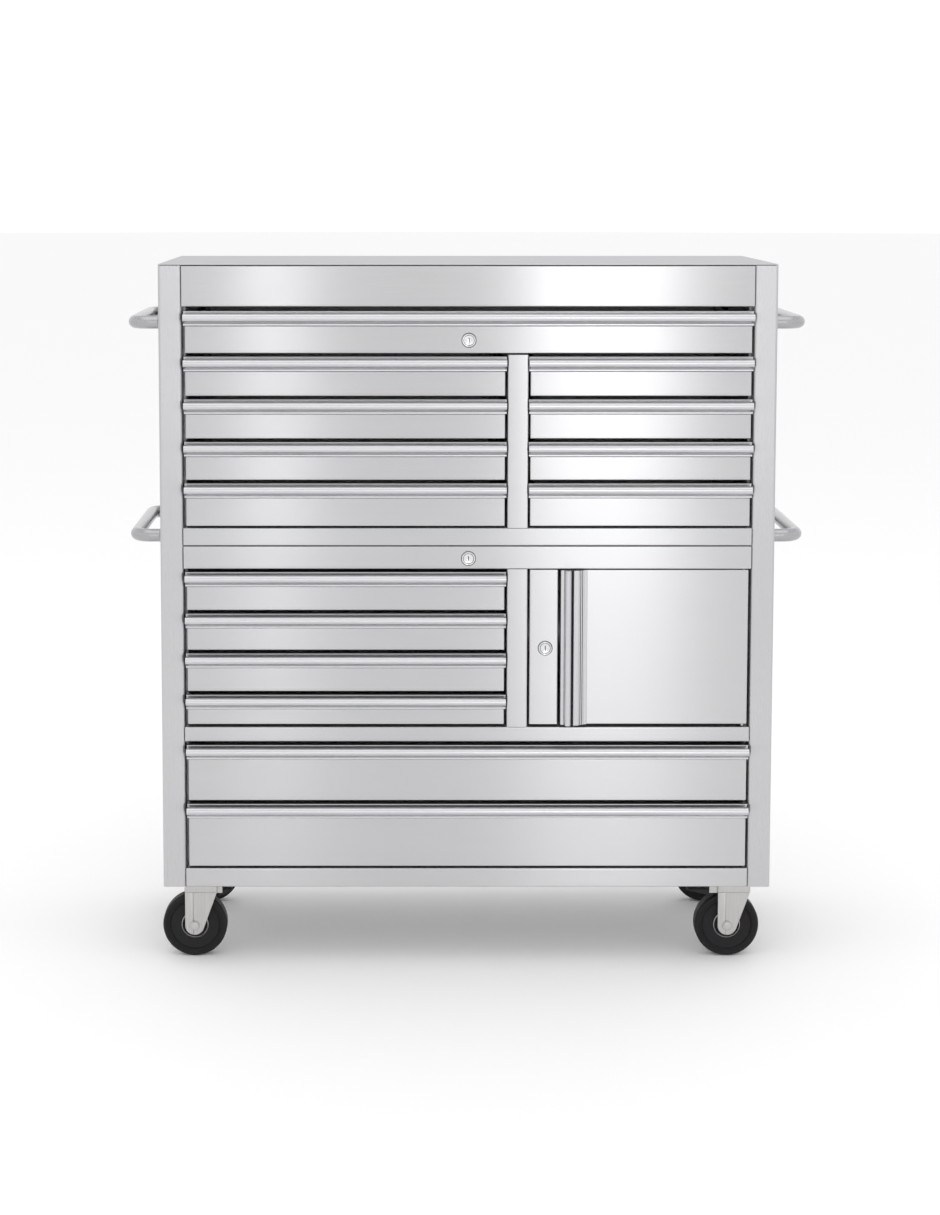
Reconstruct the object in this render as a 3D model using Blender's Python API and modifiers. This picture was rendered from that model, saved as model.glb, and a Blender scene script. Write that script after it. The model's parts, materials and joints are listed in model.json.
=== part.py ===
"""Rolling tool chest in stainless sheet: a folded cabinet with fifteen drawers, one door,
three key locks, four side handles and four swivel casters, the front two with brakes.

Metres, +Z up. The origin is the centre of the overall box at floor level, the front faces -Y.
"""

import bmesh
import bpy
from math import cos, pi, radians, sin
from mathutils import Matrix, Vector

# Cabinet
WIDTH = 1.168
DEPTH = 0.457
HEIGHT = 1.353
FLOOR_GAP = 0.154
SHEET = 0.0015
PULL_PROUD = 0.0187
FRONT_Y = -(DEPTH - PULL_PROUD) / 2
BACK_Y = FRONT_Y + DEPTH
STILE_WIDTH = 0.044
STILE_DEPTH = 0.030
CORNER_RADIUS = 0.006
FASCIA_HEIGHT = 0.080
FLANGE = 0.025
TOUCH = 0.0003

# Rails, as (bottom, top) heights, and the uprights, as (left, right) places
UPPER_RAIL = (0.8184, 0.852)
LOCK_RAIL = (0.7734, 0.8170)
LOWER_RAIL = (0.439, 0.4675)
BOTTOM_RAIL_TOP = 0.1906
DIVIDER = (0.0754, 0.1148)
LOCK_STILE = (0.1184, 0.1731)

# Drawers: each bank is (name, left, right, top, pitches from the top down)
FULL_WIDTH = (-0.534, 0.536)
LEFT_BANK = (-0.534, 0.0708)
RIGHT_BANK = (0.1183, 0.5357)
BANKS = (
    ("top_drawer", *FULL_WIDTH, 1.268, (0.086,)),
    ("upper_left_drawer", *LEFT_BANK, 1.182, (0.081, 0.081, 0.079, 0.088)),
    ("upper_right_drawer", *RIGHT_BANK, 1.182, (0.081, 0.081, 0.079, 0.088)),
    ("lower_left_drawer", *LEFT_BANK, 0.771, (0.080, 0.077, 0.080, 0.064)),
    ("bottom_drawer", *FULL_WIDTH, 0.436, (0.115, 0.129)),
)
DRAWER_GAP = 0.006
FRONT_THICKNESS = 0.012
FRONT_HEM = 0.018
TRAY_DEPTH = 0.400
SLIDE_SPACE = 0.013
TRAY_LIFT = 0.006
TRAY_DROP = 0.012
PULL_HEIGHT = 0.0277
PULL_OVERHANG = 0.0025
PULL_WEB = 0.0108
PULL_WEB_THICKNESS = 0.0018
PULL_WALL = 0.0024

# Door
DOOR = (0.178, 0.5351)
DOOR_HEIGHTS = (0.4734, 0.7719)
DOOR_THICKNESS = 0.016
HINGE_INSET = 0.008
DOOR_PULL_WIDTH = 0.0508
DOOR_BAR_RADIUS = 0.0062

# Locks
LOCK_RADIUS = 0.0135
LOCK_HEAD = 0.0032
LOCK_BARREL_RADIUS = 0.0095
LOCK_HOLE_RADIUS = 0.010
LOCK_REACH = 0.0255
CAM_THICKNESS = 0.002
CAM_HALF_WIDTH = 0.006
CAM_REACH = 0.015
DOOR_CAM_REACH = 0.032
CENTRE_LOCK_X = 0.002
TOP_LOCK_Z = 1.2097
RAIL_LOCK_Z = 0.7938
DOOR_LOCK = (0.1488, 0.6208)

# Side handles
HANDLE_RADIUS = 0.0125
HANDLE_REACH = 0.0535
HANDLE_BEND = 0.030
HANDLE_FRONT = FRONT_Y + 0.060
HANDLE_SPACING = 0.315
HANDLE_HEIGHTS = {"lower": 0.829, "upper": 1.240}

# Casters
CASTER_INSET = 0.065
CASTER_TRAIL = 0.0095
WHEEL_RADIUS = 0.0625
WHEEL_HALF_WIDTH = 0.016
HUB_HALF_WIDTH = 0.0185
BORE_RADIUS = 0.0065
AXLE_RADIUS = 0.006
AXLE_END = 0.003
LEG_OUTSIDE = 0.022
LEG_THICKNESS = 0.0025
LEG_END_RADIUS = 0.0185
LEG_BACK = 0.034
CROWN_TOP = 0.143
CROWN_THICKNESS = 0.006
PLATE_HALF_SIZE = (0.045, 0.0315)
PLATE_BOTTOM = 0.150
RACEWAY_RADIUS = 0.027
RACEWAY_GAP = 0.0005
PLATE_OVERLAP = 0.001
PEDAL_PIVOT = (0.040, 0.131)
PEDAL_HALF_WIDTH = 0.014
PEDAL_NECK = 0.003
PEDAL_HEEL = 0.0115
PEDAL_TIP = 0.0030
PEDAL_REACH = {"front_left": (1, 0.063), "front_right": (-1, 0.087)}

CURVE_SEGMENTS = 6
WHEEL_SEGMENTS = 32


def clear_scene():
    for obj in list(bpy.data.objects):
        bpy.data.objects.remove(obj)


def new_collection(name):
    collection = bpy.data.collections.new(name)
    bpy.context.scene.collection.children.link(collection)
    return collection


def make_material(name, colour, roughness, metallic):
    material = bpy.data.materials.new(name)
    material.use_nodes = True
    shader = material.node_tree.nodes["Principled BSDF"]
    shader.inputs["Base Color"].default_value = (*colour, 1.0)
    shader.inputs["Roughness"].default_value = roughness
    shader.inputs["Metallic"].default_value = metallic
    return material


def add_mesh(name, shape, look, origin=(0, 0, 0), parent=None):
    """A sub-part from world-space geometry, with its own origin and, if given, its parent."""
    origin = Vector(origin)
    bmesh.ops.translate(shape, vec=-origin, verts=shape.verts)
    mesh = bpy.data.meshes.new(name)
    shape.to_mesh(mesh)
    shape.free()
    obj = bpy.data.objects.new(name, mesh)
    parts.objects.link(obj)
    mesh.materials.append(look)
    obj.location = origin
    if parent is not None:
        obj.parent = parent
        obj.location = origin - parent_origin(parent)
    return obj


def parent_origin(obj):
    place = obj.location.copy()
    while obj.parent is not None:
        obj = obj.parent
        place += obj.location
    return place


def helper(name, shape):
    """A closed solid that is joined to or cut from a sub-part, and isn't one itself."""
    mesh = bpy.data.meshes.new(name)
    shape.to_mesh(mesh)
    shape.free()
    obj = bpy.data.objects.new(name, mesh)
    cutters.objects.link(obj)
    obj.hide_render = True
    obj.display_type = "WIRE"
    return obj


def combine(target, shape, operation):
    tool = helper(f"{target.name}_{operation.lower()}_{len(target.modifiers)}", shape)
    boolean = target.modifiers.new(operation.capitalize(), "BOOLEAN")
    boolean.operation = operation
    boolean.object = tool
    return tool


def box(low, high):
    shape = bmesh.new()
    bmesh.ops.create_cube(shape, size=1.0)
    size = Vector(high) - Vector(low)
    middle = (Vector(high) + Vector(low)) / 2
    bmesh.ops.scale(shape, vec=size, verts=shape.verts)
    bmesh.ops.translate(shape, vec=middle, verts=shape.verts)
    return shape


def open_box(low, high, axis, look, name, origin):
    """Sheet box without its face towards an axis, such as a tray or a door pan."""
    shape = box(low, high)
    lids = [face for face in shape.faces if face.normal.dot(Vector(axis)) > 0.9]
    bmesh.ops.delete(shape, geom=lids, context="FACES_ONLY")
    obj = add_mesh(name, shape, look, origin)
    walls = obj.modifiers.new("Walls", "SOLIDIFY")
    walls.thickness = SHEET
    walls.offset = -1
    walls.use_even_offset = True
    return obj


def cylinder(start, end, radius, segments=24):
    shape = bmesh.new()
    start = Vector(start)
    end = Vector(end)
    turn = Vector((0, 0, 1)).rotation_difference(end - start).to_matrix().to_4x4()
    place = Matrix.Translation((start + end) / 2) @ turn
    bmesh.ops.create_cone(
        shape,
        cap_ends=True,
        segments=segments,
        radius1=radius,
        radius2=radius,
        depth=(end - start).length,
        matrix=place,
    )
    return shape


def arc(centre, radius, start_deg, end_deg, segments=CURVE_SEGMENTS):
    """Points on a circle in a plane, ends included."""
    points = []
    for i in range(segments + 1):
        angle = radians(start_deg + (end_deg - start_deg) * i / segments)
        points.append((centre[0] + radius * cos(angle), centre[1] + radius * sin(angle)))
    return points


def folded_surface(path, low, high, axis):
    """The middle line of a folded sheet's section, drawn out along an axis.

    For axis X the path holds (y, z) points, and for axis Z it holds (x, y) points.
    """
    shape = bmesh.new()
    if axis == "X":
        line = [shape.verts.new((low, a, b)) for a, b in path]
        reach = Vector((high - low, 0, 0))
    else:
        line = [shape.verts.new((a, b, low)) for a, b in path]
        reach = Vector((0, 0, high - low))
    edges = [shape.edges.new(pair) for pair in zip(line, line[1:])]
    drawn = bmesh.ops.extrude_edge_only(shape, edges=edges)["geom"]
    moved = [item for item in drawn if isinstance(item, bmesh.types.BMVert)]
    bmesh.ops.translate(shape, vec=reach, verts=moved)
    return shape


def thicken(obj):
    solidify = obj.modifiers.new("Sheet", "SOLIDIFY")
    solidify.thickness = SHEET
    solidify.offset = 0
    solidify.use_even_offset = True


def folded_sheet(name, path, low, high, axis, look):
    obj = add_mesh(name, folded_surface(path, low, high, axis), look)
    thicken(obj)
    return obj


def extrusion(name, outline, low, high, axis, look, origin=(0, 0, 0), parent=None):
    """A flat outline drawn out along X, Y or Z.

    The outline's points are (y, z), (x, z) or (x, y), and it is filled on both ends.
    """
    curve = bpy.data.curves.new(name, "CURVE")
    curve.dimensions = "2D"
    curve.fill_mode = "BOTH"
    curve.extrude = (high - low) / 2
    spline = curve.splines.new("POLY")
    spline.points.add(len(outline) - 1)
    for point, (a, b) in zip(spline.points, outline):
        point.co = (a, b, 0, 1)
    spline.use_cyclic_u = True
    obj = bpy.data.objects.new(name, curve)
    parts.objects.link(obj)
    middle = (low + high) / 2
    turns = {
        "X": Matrix(((0, 0, 1, middle), (1, 0, 0, 0), (0, 1, 0, 0), (0, 0, 0, 1))),
        "Y": Matrix(((1, 0, 0, 0), (0, 0, -1, middle), (0, 1, 0, 0), (0, 0, 0, 1))),
        "Z": Matrix.Translation((0, 0, middle)),
    }
    obj.matrix_world = turns[axis]
    bpy.context.view_layer.update()
    graph = bpy.context.evaluated_depsgraph_get()
    mesh = bpy.data.meshes.new_from_object(obj.evaluated_get(graph))
    shape = bmesh.new()
    shape.from_mesh(mesh)
    bmesh.ops.transform(shape, matrix=obj.matrix_world, verts=shape.verts)
    bmesh.ops.remove_doubles(shape, verts=shape.verts, dist=1e-5)
    bmesh.ops.recalc_face_normals(shape, faces=shape.faces)
    bpy.data.objects.remove(obj)
    bpy.data.meshes.remove(mesh)
    if look is None:
        return shape
    return add_mesh(name, shape, look, origin, parent)


def smooth(obj, angle=35):
    obj.data.shade_smooth()
    obj.data.set_sharp_from_angle(angle=radians(angle))


def make_side_panel(name, side):
    """Outer sheet with a front stile folded round a small radius and a return behind it."""
    outer = side * (WIDTH / 2 - SHEET / 2)
    inner = side * (WIDTH / 2 - STILE_WIDTH + SHEET / 2)
    front = FRONT_Y + SHEET / 2
    corner = [
        (outer - side * CORNER_RADIUS * (1 - cos(angle)), front + CORNER_RADIUS * (1 - sin(angle)))
        for angle in (pi / 2 * i / CURVE_SEGMENTS for i in range(CURVE_SEGMENTS + 1))
    ]
    path = [(outer, BACK_Y), *corner, (inner, front), (inner, FRONT_Y + STILE_DEPTH)]
    top = HEIGHT - SHEET - TOUCH
    return folded_sheet(name, path, FLOOR_GAP, top, "Z", stainless)


def make_top_panel():
    """Full-width lid with the front fascia between the stiles, and its lower return."""
    between = WIDTH / 2 - STILE_WIDTH - TOUCH
    middle = HEIGHT - SHEET / 2
    front = FRONT_Y + SHEET / 2
    low = HEIGHT - FASCIA_HEIGHT + SHEET / 2
    path = [(FRONT_Y + FLANGE, low), (front, low), (front, middle), (BACK_Y - FLANGE, middle)]
    panel = folded_sheet("top_panel", path, -between, between, "X", stainless)
    lid = box((-WIDTH / 2, FRONT_Y, HEIGHT - SHEET), (WIDTH / 2, BACK_Y, HEIGHT))
    combine(panel, lid, "UNION")
    return panel


def make_back_panel():
    half = WIDTH / 2 - SHEET - TOUCH
    top = HEIGHT - SHEET - TOUCH
    low = (-half, BACK_Y - SHEET, FLOOR_GAP + SHEET + TOUCH)
    return add_mesh("back_panel", box(low, (half, BACK_Y, top)), stainless)


def caster_places():
    """Each caster's name and the foot of its swivel axis."""
    x = WIDTH / 2 - CASTER_INSET
    return {
        "front_left": (-x, FRONT_Y + CASTER_INSET),
        "front_right": (x, FRONT_Y + CASTER_INSET),
        "rear_left": (-x, BACK_Y - CASTER_INSET),
        "rear_right": (x, BACK_Y - CASTER_INSET),
    }


def make_base_pan():
    """Folded floor pan whose front is the bottom rail, with the four caster top plates."""
    between = WIDTH / 2 - STILE_WIDTH - TOUCH
    front = FRONT_Y + SHEET / 2
    low = FLOOR_GAP + SHEET / 2
    top = BOTTOM_RAIL_TOP - SHEET / 2
    back = BACK_Y - SHEET * 2
    path = [
        (FRONT_Y + FLANGE, top),
        (front, top),
        (front, low),
        (back, low),
        (back, top),
    ]
    pan = folded_sheet("base_pan", path, -between, between, "X", stainless)
    half = WIDTH / 2 - SHEET - TOUCH
    behind_stile = FRONT_Y + STILE_DEPTH + SHEET + TOUCH
    deck = box((-half, behind_stile, FLOOR_GAP), (half, back, FLOOR_GAP + SHEET))
    combine(pan, deck, "UNION")
    for x, y in caster_places().values():
        half_x, half_y = PLATE_HALF_SIZE
        corner = (x - half_x, y - half_y, PLATE_BOTTOM)
        plate = box(corner, (x + half_x, y + half_y, FLOOR_GAP + SHEET / 2))
        combine(pan, plate, "UNION")
        raceway = cylinder((x, y, CROWN_TOP + RACEWAY_GAP), (x, y, PLATE_BOTTOM + PLATE_OVERLAP), RACEWAY_RADIUS)
        combine(pan, raceway, "UNION")
    return pan


def make_rail(name, heights, shelf):
    """Front rail between the stiles. With a shelf its top runs back to the rear panel."""
    between = WIDTH / 2 - STILE_WIDTH - TOUCH
    front = FRONT_Y + SHEET / 2
    low, high = heights[0] + SHEET / 2, heights[1] - SHEET / 2
    depth = BACK_Y - SHEET * 2 if shelf else FRONT_Y + FLANGE
    path = [(FRONT_Y + FLANGE, low), (front, low), (front, high), (depth, high)]
    return folded_sheet(name, path, -between, between, "X", stainless)


def make_divider(name, low, high):
    """Upright between two banks: a front face with both sides running back."""
    left, right = DIVIDER[0] + SHEET / 2, DIVIDER[1] - SHEET / 2
    front = FRONT_Y + SHEET / 2
    back = BACK_Y - SHEET * 2
    path = [(left, back), (left, front), (right, front), (right, back)]
    return folded_sheet(name, path, low, high, "Z", stainless)


def make_lock_stile():
    """Fixed upright beside the door, which carries the door's lock."""
    left, right = LOCK_STILE[0] + SHEET / 2, LOCK_STILE[1] - SHEET / 2
    front = FRONT_Y + SHEET / 2
    path = [(left, FRONT_Y + FLANGE), (left, front), (right, front), (right, front + 0.012)]
    stile = folded_sheet("lock_stile", path, *DOOR_HEIGHTS, "Z", stainless)
    combine(stile, lock_hole(*DOOR_LOCK), "DIFFERENCE")
    return stile


def lock_hole(x, z):
    return cylinder((x, FRONT_Y - 0.01, z), (x, FRONT_Y + 0.018, z), LOCK_HOLE_RADIUS)


def make_lock(name, x, z, cam_length, parent):
    """Key plug: round head, barrel through the sheet, and a cam behind it."""
    face = FRONT_Y - TOUCH
    cam_y = FRONT_Y + LOCK_REACH
    head = cylinder((x, face - LOCK_HEAD, z), (x, face, z), LOCK_RADIUS)
    lock = add_mesh(name, head, chrome, (x, FRONT_Y, z), parent)
    barrel = cylinder((0, -LOCK_HEAD / 2, 0), (0, LOCK_REACH + CAM_THICKNESS / 2, 0), LOCK_BARREL_RADIUS)
    cam = box(
        (-CAM_HALF_WIDTH, cam_y - FRONT_Y, -cam_length),
        (CAM_HALF_WIDTH, cam_y - FRONT_Y + CAM_THICKNESS, CAM_HALF_WIDTH),
    )
    for shape in (barrel, cam):
        bmesh.ops.translate(shape, vec=(x, FRONT_Y, z), verts=shape.verts)
        combine(lock, shape, "UNION")
    smooth(lock)
    return lock


def pull_outline():
    """Section of the drawer pull, as (out, up) from the foot of its back.

    It is a J open at the top, with a web that runs back over the hollow front.
    """
    web_low = PULL_HEIGHT - PULL_WEB_THICKNESS
    curl_centre = (0.0105, 0.0152)
    curl_radius = PULL_PROUD - curl_centre[0]
    foot = [(-0.0025, 0.0), (0.0028, 0.0), (0.0045, 0.0012), (0.0045, 0.0038)]
    outer_curl = arc(curl_centre, curl_radius, -60, 100, 8)
    inner_curl = arc(curl_centre, curl_radius - PULL_WALL, 100, -60, 8)
    channel = [(0.0085, 0.0085), (0.0012, 0.0085), (0.0012, PULL_HEIGHT)]
    web = [(-PULL_WEB, PULL_HEIGHT), (-PULL_WEB, web_low), (-0.0025, web_low)]
    return [*foot, *outer_curl, *inner_curl, *channel, *web]


def make_drawer(name, left, right, low, high):
    """Open tray with a folded hollow front, and its full-width aluminium pull."""
    origin = ((left + right) / 2, FRONT_Y, low)
    corner = (left + SLIDE_SPACE, FRONT_Y + FRONT_THICKNESS - SHEET / 2, low + TRAY_LIFT)
    far = (right - SLIDE_SPACE, FRONT_Y + TRAY_DEPTH, high - TRAY_DROP)
    drawer = open_box(corner, far, (0, 0, 1), stainless, name, origin)
    face_top = high - PULL_HEIGHT - TOUCH - SHEET / 2
    face_low = low + SHEET / 2
    front = FRONT_Y + SHEET / 2
    back = FRONT_Y + FRONT_THICKNESS
    path = [(back, low + FRONT_HEM), (back, face_low), (front, face_low), (front, face_top)]
    path.append((back + SHEET / 4, face_top))
    skin = combine(drawer, folded_surface(path, left, right, "X"), "UNION")
    thicken(skin)
    outline = [(FRONT_Y - out, high - PULL_HEIGHT + up) for out, up in pull_outline()]
    ends = (left - PULL_OVERHANG, right + PULL_OVERHANG)
    extrusion(f"{name}_pull", outline, *ends, "X", aluminium, origin, drawer)
    return drawer


def make_drawers():
    made = {}
    for name, left, right, top, pitches in BANKS:
        high = top
        for number, pitch in enumerate(pitches, start=1):
            label = name if len(pitches) == 1 else f"{name}_{number}"
            gap = DRAWER_GAP / 2
            made[label] = make_drawer(label, left, right, high - pitch + gap, high - gap)
            high -= pitch
    return made


def door_pull_outline():
    """Section of the door pull, as (across, out): a flat lip, a round bar, a groove and a step."""
    bar = arc((0.0132, PULL_PROUD - DOOR_BAR_RADIUS), DOOR_BAR_RADIUS, 200, -20, 8)
    groove = [(0.0165, 0.0045), (0.0185, 0.0025), (0.0225, 0.0025)]
    step = [(0.0225, 0.0080), (0.0250, 0.0105), (0.0330, 0.0105), (0.0360, 0.0070)]
    edge = [(0.0430, 0.0040), (DOOR_PULL_WIDTH, 0.0015), (DOOR_PULL_WIDTH, TOUCH)]
    return [(0.0, TOUCH), (0.0, 0.0060), (0.0062, 0.0060), *bar, *groove, *step, *edge]


def make_door():
    """Door leaf turning on concealed pivots at its right edge, with a vertical pull."""
    axis = (DOOR[1] - HINGE_INSET, FRONT_Y + HINGE_INSET, DOOR_HEIGHTS[0])
    low = (DOOR[0], FRONT_Y, DOOR_HEIGHTS[0])
    high = (DOOR[1], FRONT_Y + DOOR_THICKNESS, DOOR_HEIGHTS[1])
    door = open_box(low, high, (0, 1, 0), stainless, "door_panel", axis)
    outline = [(DOOR[0] + across, FRONT_Y - out) for across, out in door_pull_outline()]
    extrusion("door_pull", outline, *DOOR_HEIGHTS, "Z", aluminium, axis, door)
    return door


def make_handle(name, side, height):
    """Bent tube that stands out from the side of the cabinet, level with the floor."""
    foot = WIDTH / 2 + TOUCH
    out = WIDTH / 2 + HANDLE_REACH
    front = HANDLE_FRONT
    back = HANDLE_FRONT + HANDLE_SPACING
    near = arc((out - HANDLE_BEND, front + HANDLE_BEND), HANDLE_BEND, -90, 0)
    far = arc((out - HANDLE_BEND, back - HANDLE_BEND), HANDLE_BEND, 0, 90)
    route = [(foot, front), *near, *far, (foot, back)]
    curve = bpy.data.curves.new(name, "CURVE")
    curve.dimensions = "3D"
    curve.bevel_depth = HANDLE_RADIUS
    curve.bevel_resolution = 2
    curve.use_fill_caps = True
    spline = curve.splines.new("POLY")
    spline.points.add(len(route) - 1)
    for point, (x, y) in zip(spline.points, route):
        point.co = (side * x, y - front, 0, 1)
    handle = bpy.data.objects.new(name, curve)
    parts.objects.link(handle)
    curve.materials.append(aluminium)
    handle.location = (0, front, height)
    return handle


def make_fork(name, x, y):
    """Caster fork: two tapered legs under a crown plate, and the axle through both."""
    wheel_x = x - CASTER_TRAIL
    left = wheel_x - LEG_END_RADIUS
    right = x + LEG_BACK
    crown_low = CROWN_TOP - CROWN_THICKNESS
    corner = (left, y - LEG_OUTSIDE, crown_low)
    crown = box(corner, (right, y + LEG_OUTSIDE, CROWN_TOP))
    fork = add_mesh(name, crown, zinc, (x, y, CROWN_TOP))
    outline = [
        (left, CROWN_TOP - TOUCH),
        *arc((wheel_x, WHEEL_RADIUS), LEG_END_RADIUS, 180, 340, 8),
        (right, crown_low - 0.004),
        (right, CROWN_TOP - TOUCH),
    ]
    inside = LEG_OUTSIDE - LEG_THICKNESS
    for side in (-1, 1):
        low, high = sorted((y + side * inside, y + side * (LEG_OUTSIDE - TOUCH)))
        leg = extrusion(f"{name}_leg", outline, low, high, "Y", None)
        combine(fork, leg, "UNION")
    ends = [(wheel_x, y + side * (LEG_OUTSIDE + AXLE_END), WHEEL_RADIUS) for side in (-1, 1)]
    combine(fork, cylinder(*ends, AXLE_RADIUS), "UNION")
    return fork


def make_wheel(name, x, y, fork):
    """Rubber wheel turned round its axle, with a stepped hub and a crowned tread."""
    hub = HUB_HALF_WIDTH
    half = WHEEL_HALF_WIDTH
    upper = [
        (BORE_RADIUS, hub),
        (0.017, hub),
        (0.019, half - 0.003),
        (0.046, half - 0.003),
        (0.050, half),
        (0.0575, half),
        (WHEEL_RADIUS, half - 0.007),
    ]
    section = upper + [(radius, -across) for radius, across in reversed(upper)]
    shape = bmesh.new()
    ring = [shape.verts.new((radius, 0, across)) for radius, across in section]
    for pair in zip(ring, ring[1:] + ring[:1]):
        shape.edges.new(pair)
    wheel = add_mesh(name, shape, rubber)
    screw = wheel.modifiers.new("Turned", "SCREW")
    screw.axis = "Z"
    screw.steps = WHEEL_SEGMENTS
    screw.render_steps = WHEEL_SEGMENTS
    screw.use_merge_vertices = True
    screw.merge_threshold = 1e-5
    wheel.rotation_euler = (pi / 2, 0, 0)
    wheel.parent = fork
    wheel.location = Vector((x - CASTER_TRAIL, y, WHEEL_RADIUS)) - parent_origin(fork)
    return wheel


def make_pedal(name, x, y, side, reach, fork):
    """Brake lever beside the fork: a wedge that rises from its heel and thins to its tip."""
    pivot_x, pivot_z = PEDAL_PIVOT
    start = pivot_x - PEDAL_NECK
    top = pivot_z + PEDAL_NECK
    outline = [
        (x + side * start, top),
        (x + side * start, pivot_z - PEDAL_HEEL),
        (x + side * pivot_x, pivot_z - PEDAL_HEEL),
        (x + side * reach, top - PEDAL_TIP),
        (x + side * reach, top),
    ]
    ends = (y - PEDAL_HALF_WIDTH, y + PEDAL_HALF_WIDTH)
    origin = (x + side * pivot_x, y, pivot_z)
    return extrusion(name, outline, *ends, "Y", black_steel, origin, fork)


def make_casters():
    for place, (x, y) in caster_places().items():
        fork = make_fork(f"{place}_caster_fork", x, y)
        make_wheel(f"{place}_wheel", x, y, fork)
        if place in PEDAL_REACH:
            side, reach = PEDAL_REACH[place]
            make_pedal(f"{place}_brake_pedal", x, y, side, reach, fork)


clear_scene()
parts = new_collection("rolling_tool_chest")
cutters = new_collection("cutters")
stainless = make_material("stainless", (0.62, 0.62, 0.63), 0.32, 1.0)
aluminium = make_material("aluminium", (0.72, 0.72, 0.73), 0.28, 1.0)
chrome = make_material("chrome", (0.80, 0.80, 0.81), 0.12, 1.0)
zinc = make_material("zinc", (0.60, 0.59, 0.56), 0.35, 1.0)
rubber = make_material("rubber", (0.02, 0.02, 0.022), 0.70, 0.0)
black_steel = make_material("black_steel", (0.03, 0.03, 0.03), 0.45, 0.0)

make_side_panel("left_side_panel", -1)
make_side_panel("right_side_panel", 1)
make_top_panel()
make_back_panel()
make_base_pan()
make_rail("upper_rail", UPPER_RAIL, shelf=False)
lock_rail = make_rail("lock_rail", LOCK_RAIL, shelf=True)
combine(lock_rail, lock_hole(CENTRE_LOCK_X, RAIL_LOCK_Z), "DIFFERENCE")
make_rail("lower_rail", LOWER_RAIL, shelf=True)
make_divider("upper_divider", UPPER_RAIL[1] + TOUCH, BANKS[1][3])
make_divider("lower_divider", LOWER_RAIL[1] + TOUCH, LOCK_RAIL[0] - TOUCH)
make_lock_stile()
for level, height in HANDLE_HEIGHTS.items():
    make_handle(f"{level}_left_handle", -1, height)
    make_handle(f"{level}_right_handle", 1, height)
drawers = make_drawers()
combine(drawers["top_drawer"], lock_hole(CENTRE_LOCK_X, TOP_LOCK_Z), "DIFFERENCE")
make_lock("top_drawer_lock", CENTRE_LOCK_X, TOP_LOCK_Z, CAM_REACH, drawers["top_drawer"])
make_lock("rail_lock", CENTRE_LOCK_X, RAIL_LOCK_Z, CAM_REACH, None)
make_lock("door_lock", *DOOR_LOCK, DOOR_CAM_REACH, None)
make_door()
make_casters()
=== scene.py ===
"""Rolling tool chest in brushed stainless sheet, put together piece by piece on its frame."""

import json
from math import acos, cos, pi, radians, sin, tan

import bmesh
import bpy
from mathutils import Matrix, Vector

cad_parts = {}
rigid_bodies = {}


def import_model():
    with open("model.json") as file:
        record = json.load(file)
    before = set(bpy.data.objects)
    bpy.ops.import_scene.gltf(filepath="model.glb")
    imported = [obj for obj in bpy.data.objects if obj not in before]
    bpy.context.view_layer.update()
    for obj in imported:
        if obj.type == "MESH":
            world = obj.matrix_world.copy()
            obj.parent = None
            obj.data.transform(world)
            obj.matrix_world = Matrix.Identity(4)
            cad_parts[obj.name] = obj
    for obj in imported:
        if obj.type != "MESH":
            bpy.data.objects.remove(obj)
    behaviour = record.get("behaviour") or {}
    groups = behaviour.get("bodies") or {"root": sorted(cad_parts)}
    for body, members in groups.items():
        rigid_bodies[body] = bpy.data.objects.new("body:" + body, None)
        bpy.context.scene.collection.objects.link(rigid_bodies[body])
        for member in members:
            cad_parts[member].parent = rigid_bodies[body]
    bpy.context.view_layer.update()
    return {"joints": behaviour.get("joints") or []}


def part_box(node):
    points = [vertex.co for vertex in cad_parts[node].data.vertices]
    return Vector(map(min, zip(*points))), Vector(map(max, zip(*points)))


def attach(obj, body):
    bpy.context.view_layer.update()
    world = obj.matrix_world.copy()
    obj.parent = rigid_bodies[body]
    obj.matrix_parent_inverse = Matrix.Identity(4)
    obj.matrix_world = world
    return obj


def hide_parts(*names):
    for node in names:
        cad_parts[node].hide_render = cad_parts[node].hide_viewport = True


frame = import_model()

# ---- Studio: a pale floor, a white room, tall soft panels and the camera -------------------
# The chest stands on a plain floor in front of tall white light panels. Brushed steel shows the
# panels and the gaps between them as soft upright bands.
scene = bpy.context.scene
scene.view_settings.view_transform = "Standard"
scene.view_settings.look = "None"

camera_data = bpy.data.cameras.new("camera")
camera_data.sensor_width = 36.0
camera_data.lens = 65.8
camera_data.shift_x = 0.0558
camera_data.shift_y = -0.19
camera = bpy.data.objects.new("camera", camera_data)
camera.location = (-0.124, -4.394, 1.512)
camera.rotation_euler = (radians(90 - 5.08), 0, 0)
scene.collection.objects.link(camera)
scene.camera = camera


def studio_world():
    world = bpy.data.worlds.new("white_room")
    scene.world = world
    world.use_nodes = True
    nodes, links = world.node_tree.nodes, world.node_tree.links
    background = nodes["Background"]
    place = nodes.new("ShaderNodeTexCoord")
    split = nodes.new("ShaderNodeSeparateXYZ")
    links.new(place.outputs["Generated"], split.inputs[0])
    height = nodes.new("ShaderNodeMapRange")
    height.inputs["From Min"].default_value = 0.35
    height.inputs["From Max"].default_value = 0.90
    links.new(split.outputs["Z"], height.inputs["Value"])
    fade = nodes.new("ShaderNodeValToRGB")
    fade.color_ramp.elements[0].color = (1.0, 1.0, 1.0, 1)
    fade.color_ramp.elements[1].color = (0.80, 0.80, 0.81, 1)
    links.new(height.outputs[0], fade.inputs[0])
    links.new(fade.outputs[0], background.inputs["Color"])
    background.inputs["Strength"].default_value = 1.10


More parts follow.
